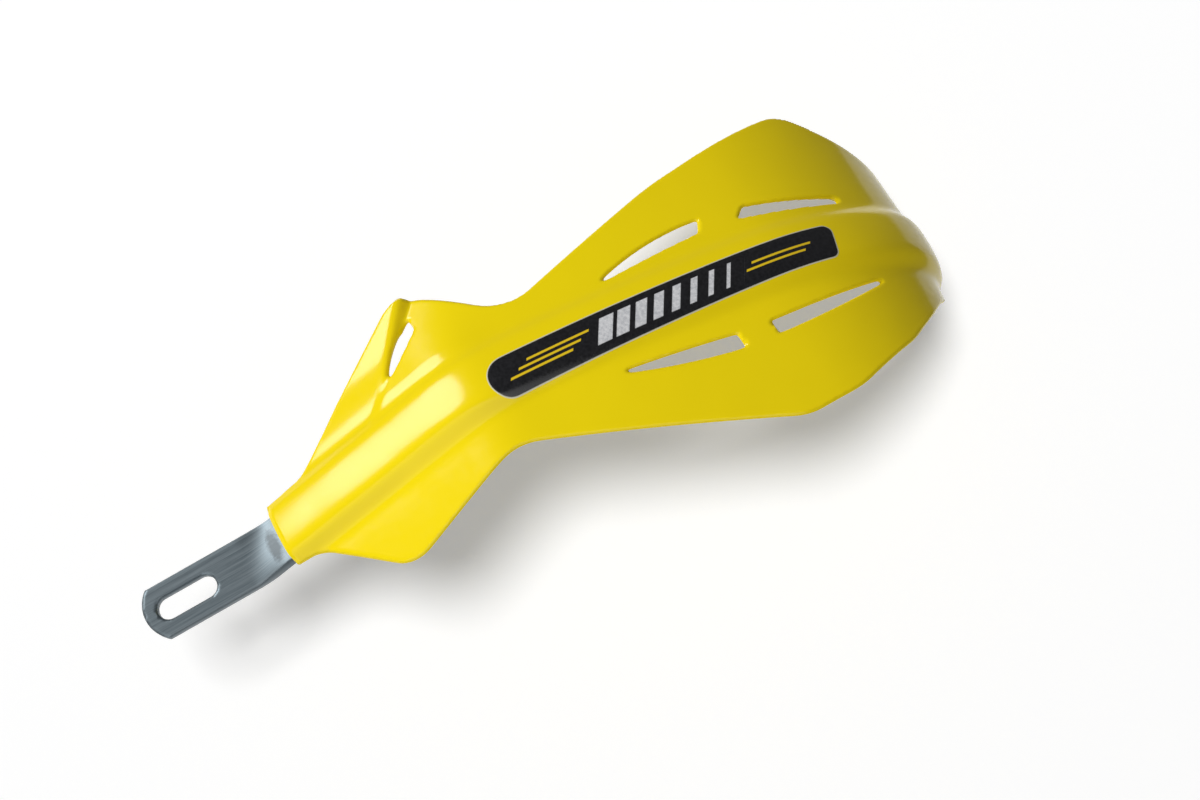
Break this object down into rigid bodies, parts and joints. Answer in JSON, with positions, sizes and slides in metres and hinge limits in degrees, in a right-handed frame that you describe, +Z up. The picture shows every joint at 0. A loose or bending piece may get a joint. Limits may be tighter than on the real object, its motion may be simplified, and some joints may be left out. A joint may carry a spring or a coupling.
{
  "type": "motorcycle hand guard",
  "caption": "Moulded hand guard with a raised spine, wings and air slots, screwed to a bent flat bar that bolts to a handlebar end and clamps inboard through a slotted tab.",
  "frame": {"origin": "middle of the bar-end bolt hole, at mid thickness of the bar", "axes": "+X outboard along the handlebar end and the bolt, -Y forward, +Z up, as the guard is mounted on a handlebar's left end"},
  "size_m": [0.3312, 0.0883, 0.1251],
  "materials": {
    "shield": "glossy moulded yellow plastic",
    "aluminium_bar": "brushed along its length",
    "screws": "zinc plated",
    "washers": "zinc plated",
    "sticker": "glossy black vinyl"
  },
  "bodies": {
    "root": {"shield": "shield", "aluminium_bar": "aluminium_bar", "shield_screws": "screws", "screw_washers": "washers", "spine_sticker": "sticker"}
  },
  "joints": []
}
